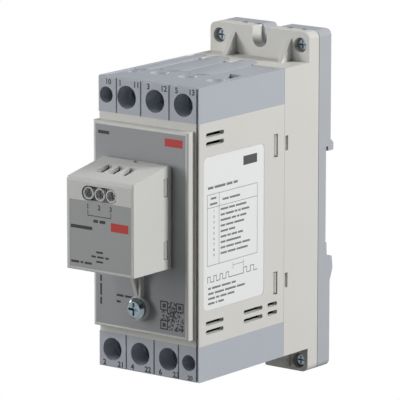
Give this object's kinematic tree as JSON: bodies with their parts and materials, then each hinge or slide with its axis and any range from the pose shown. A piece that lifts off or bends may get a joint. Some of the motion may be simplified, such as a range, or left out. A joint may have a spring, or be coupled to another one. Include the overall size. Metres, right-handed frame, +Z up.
{
  "type": "motor soft starter with serial interface module",
  "caption": "Narrow three-phase motor soft starter for a mounting rail, with rising-cage terminals top and bottom, a sprung rail latch and a plug-on interface module in front.",
  "frame": {"origin": "middle of the flat seat that bears on the front of the 35 mm mounting rail, half way across the body", "axes": "+X across the front to the right as the part is read, along the rail; +Y from the front back into the rail and panel; +Z up, from the load terminals to the line terminals"},
  "size_m": [0.045, 0.1076, 0.1265],
  "materials": {
    "housing": "fine-grained light beige moulding",
    "terminal_block": "fine-grained blue-grey moulding",
    "label": "matt grey film",
    "paper_label": "matt white film",
    "plate": "fine-grained blue-grey moulding",
    "latch": "smooth darker grey moulding",
    "spring_steel": "drawn wire",
    "module": "fine-grained light grey moulding",
    "module_strip": "smooth light grey moulding",
    "circuit_board": "green solder mask",
    "black_plastic": "moulded black",
    "ferrite": "dark lacquered ring",
    "copper": "bare copper strip",
    "heat_sink": "extruded",
    "relay": "light grey case",
    "winding": "varnished core and winding",
    "capacitor": "blue sleeve",
    "zinc": "zinc plated",
    "brass": "plain brass"
  },
  "bodies": {
    "housing": {"front_shell": "housing", "rear_base": "housing", "top_block": "terminal_block", "bottom_block": "terminal_block", "front_cover": "housing", "front_label": "label", "side_label": "paper_label", "adapter_plate": "plate", "latch_spring": "spring_steel", "corner_screws": "zinc", "line_busbars": "copper", "load_busbars": "copper", "control_contacts": "copper", "current_transformers": "ferrite", "heat_sink": "heat_sink", "thyristors": "black_plastic", "thyristor_screws": "zinc", "power_board": "circuit_board", "bypass_relays": "relay", "control_board": "circuit_board", "transformer": "winding", "capacitors": "capacitor", "processor": "black_plastic", "board_header": "black_plastic", "interface_board": "circuit_board", "port_socket": "black_plastic", "module_housing": "module", "module_back": "module", "module_label": "label", "lug_screw": "zinc", "module_board": "circuit_board", "module_terminals": "module_strip", "module_contacts": "copper", "module_plug": "black_plastic"},
    "rail_latch": {"rail_latch": "latch"},
    "screw_a1": {"screw_a1": "zinc"},
    "screw_l1": {"screw_l1": "zinc"},
    "screw_l2": {"screw_l2": "zinc"},
    "screw_l3": {"screw_l3": "zinc"},
    "screw_t1": {"screw_t1": "zinc"},
    "screw_t2": {"screw_t2": "zinc"},
    "screw_t3": {"screw_t3": "zinc"},
    "screw_a2": {"screw_a2": "zinc"},
    "cage_a1": {"cage_a1": "brass"},
    "cage_l1": {"cage_l1": "brass"},
    "cage_l2": {"cage_l2": "brass"},
    "cage_l3": {"cage_l3": "brass"},
    "cage_t1": {"cage_t1": "brass"},
    "cage_t2": {"cage_t2": "brass"},
    "cage_t3": {"cage_t3": "brass"},
    "cage_a2": {"cage_a2": "brass"},
    "module_screw_1": {"module_screw_1": "zinc"},
    "module_screw_2": {"module_screw_2": "zinc"},
    "module_screw_3": {"module_screw_3": "zinc"},
    "module_cage_1": {"module_cage_1": "brass"},
    "module_cage_2": {"module_cage_2": "brass"},
    "module_cage_3": {"module_cage_3": "brass"}
  },
  "joints": [
    {"name": "latch_slide", "type": "slide", "parent": "housing", "child": "rail_latch", "axis": [0, 0, 1], "range_m": [-0.0035, 0], "stiffness_N_per_m": 600, "springref_m": 0.006, "deforming": ["latch_spring"]},
    {"name": "turn_a1", "type": "hinge", "parent": "housing", "child": "screw_a1", "pos_m": [-0.01905, -0.0676, 0.0438], "axis": [0, 1, 0], "range_deg": [0, 1800]},
    {"name": "clamp_a1", "type": "slide", "parent": "housing", "child": "cage_a1", "axis": [0, -1, 0], "range_m": [0, 0.0025]},
    {"name": "turn_l1", "type": "hinge", "parent": "housing", "child": "screw_l1", "pos_m": [-0.0098, -0.0675, 0.0438], "axis": [0, 1, 0], "range_deg": [0, 2160]},
    {"name": "clamp_l1", "type": "slide", "parent": "housing", "child": "cage_l1", "axis": [0, -1, 0], "range_m": [0, 0.0042]},
    {"name": "turn_l2", "type": "hinge", "parent": "housing", "child": "screw_l2", "pos_m": [0.0029, -0.0675, 0.0438], "axis": [0, 1, 0], "range_deg": [0, 2160]},
    {"name": "clamp_l2", "type": "slide", "parent": "housing", "child": "cage_l2", "axis": [0, -1, 0], "range_m": [0, 0.0042]},
    {"name": "turn_l3", "type": "hinge", "parent": "housing", "child": "screw_l3", "pos_m": [0.0156, -0.0675, 0.0438], "axis": [0, 1, 0], "range_deg": [0, 2160]},
    {"name": "clamp_l3", "type": "slide", "parent": "housing", "child": "cage_l3", "axis": [0, -1, 0], "range_m": [0, 0.0042]},
    {"name": "turn_t1", "type": "hinge", "parent": "housing", "child": "screw_t1", "pos_m": [-0.0166, -0.0675, -0.0492], "axis": [0, 1, 0], "range_deg": [0, 2160]},
    {"name": "clamp_t1", "type": "slide", "parent": "housing", "child": "cage_t1", "axis": [0, -1, 0], "range_m": [0, 0.0042]},
    {"name": "turn_t2", "type": "hinge", "parent": "housing", "child": "screw_t2", "pos_m": [-0.0039, -0.0675, -0.0492], "axis": [0, 1, 0], "range_deg": [0, 2160]},
    {"name": "clamp_t2", "type": "slide", "parent": "housing", "child": "cage_t2", "axis": [0, -1, 0], "range_m": [0, 0.0042]},
    {"name": "turn_t3", "type": "hinge", "parent": "housing", "child": "screw_t3", "pos_m": [0.0088, -0.0675, -0.0492], "axis": [0, 1, 0], "range_deg": [0, 2160]},
    {"name": "clamp_t3", "type": "slide", "parent": "housing", "child": "cage_t3", "axis": [0, -1, 0], "range_m": [0, 0.0042]},
    {"name": "turn_a2", "type": "hinge", "parent": "housing", "child": "screw_a2", "pos_m": [0.01805, -0.0676, -0.0492], "axis": [0, 1, 0], "range_deg": [0, 1800]},
    {"name": "clamp_a2", "type": "slide", "parent": "housing", "child": "cage_a2", "axis": [0, -1, 0], "range_m": [0, 0.0025]},
    {"name": "turn_module_1", "type": "hinge", "parent": "housing", "child": "module_screw_1", "pos_m": [-0.00668, -0.0992, 0.0137], "axis": [0, 1, 0], "range_deg": [0, 1440]},
    {"name": "clamp_module_1", "type": "slide", "parent": "housing", "child": "module_cage_1", "axis": [0, -1, 0], "range_m": [0, 0.0018]},
    {"name": "turn_module_2", "type": "hinge", "parent": "housing", "child": "module_screw_2", "pos_m": [-0.0016, -0.0992, 0.0137], "axis": [0, 1, 0], "range_deg": [0, 1440]},
    {"name": "clamp_module_2", "type": "slide", "parent": "housing", "child": "module_cage_2", "axis": [0, -1, 0], "range_m": [0, 0.0018]},
    {"name": "turn_module_3", "type": "hinge", "parent": "housing", "child": "module_screw_3", "pos_m": [0.00348, -0.0992, 0.0137], "axis": [0, 1, 0], "range_deg": [0, 1440]},
    {"name": "clamp_module_3", "type": "slide", "parent": "housing", "child": "module_cage_3", "axis": [0, -1, 0], "range_m": [0, 0.0018]}
  ],
  "couplings": [
    {"joint": "turn_a1", "follows": "clamp_a1", "rad_per_m": 12566},
    {"joint": "turn_l1", "follows": "clamp_l1", "rad_per_m": 8976},
    {"joint": "turn_l2", "follows": "clamp_l2", "rad_per_m": 8976},
    {"joint": "turn_l3", "follows": "clamp_l3", "rad_per_m": 8976},
    {"joint": "turn_t1", "follows": "clamp_t1", "rad_per_m": 8976},
    {"joint": "turn_t2", "follows": "clamp_t2", "rad_per_m": 8976},
    {"joint": "turn_t3", "follows": "clamp_t3", "rad_per_m": 8976},
    {"joint": "turn_a2", "follows": "clamp_a2", "rad_per_m": 12566},
    {"joint": "turn_module_1", "follows": "clamp_module_1", "rad_per_m": 13963},
    {"joint": "turn_module_2", "follows": "clamp_module_2", "rad_per_m": 13963},
    {"joint": "turn_module_3", "follows": "clamp_module_3", "rad_per_m": 13963}
  ]
}
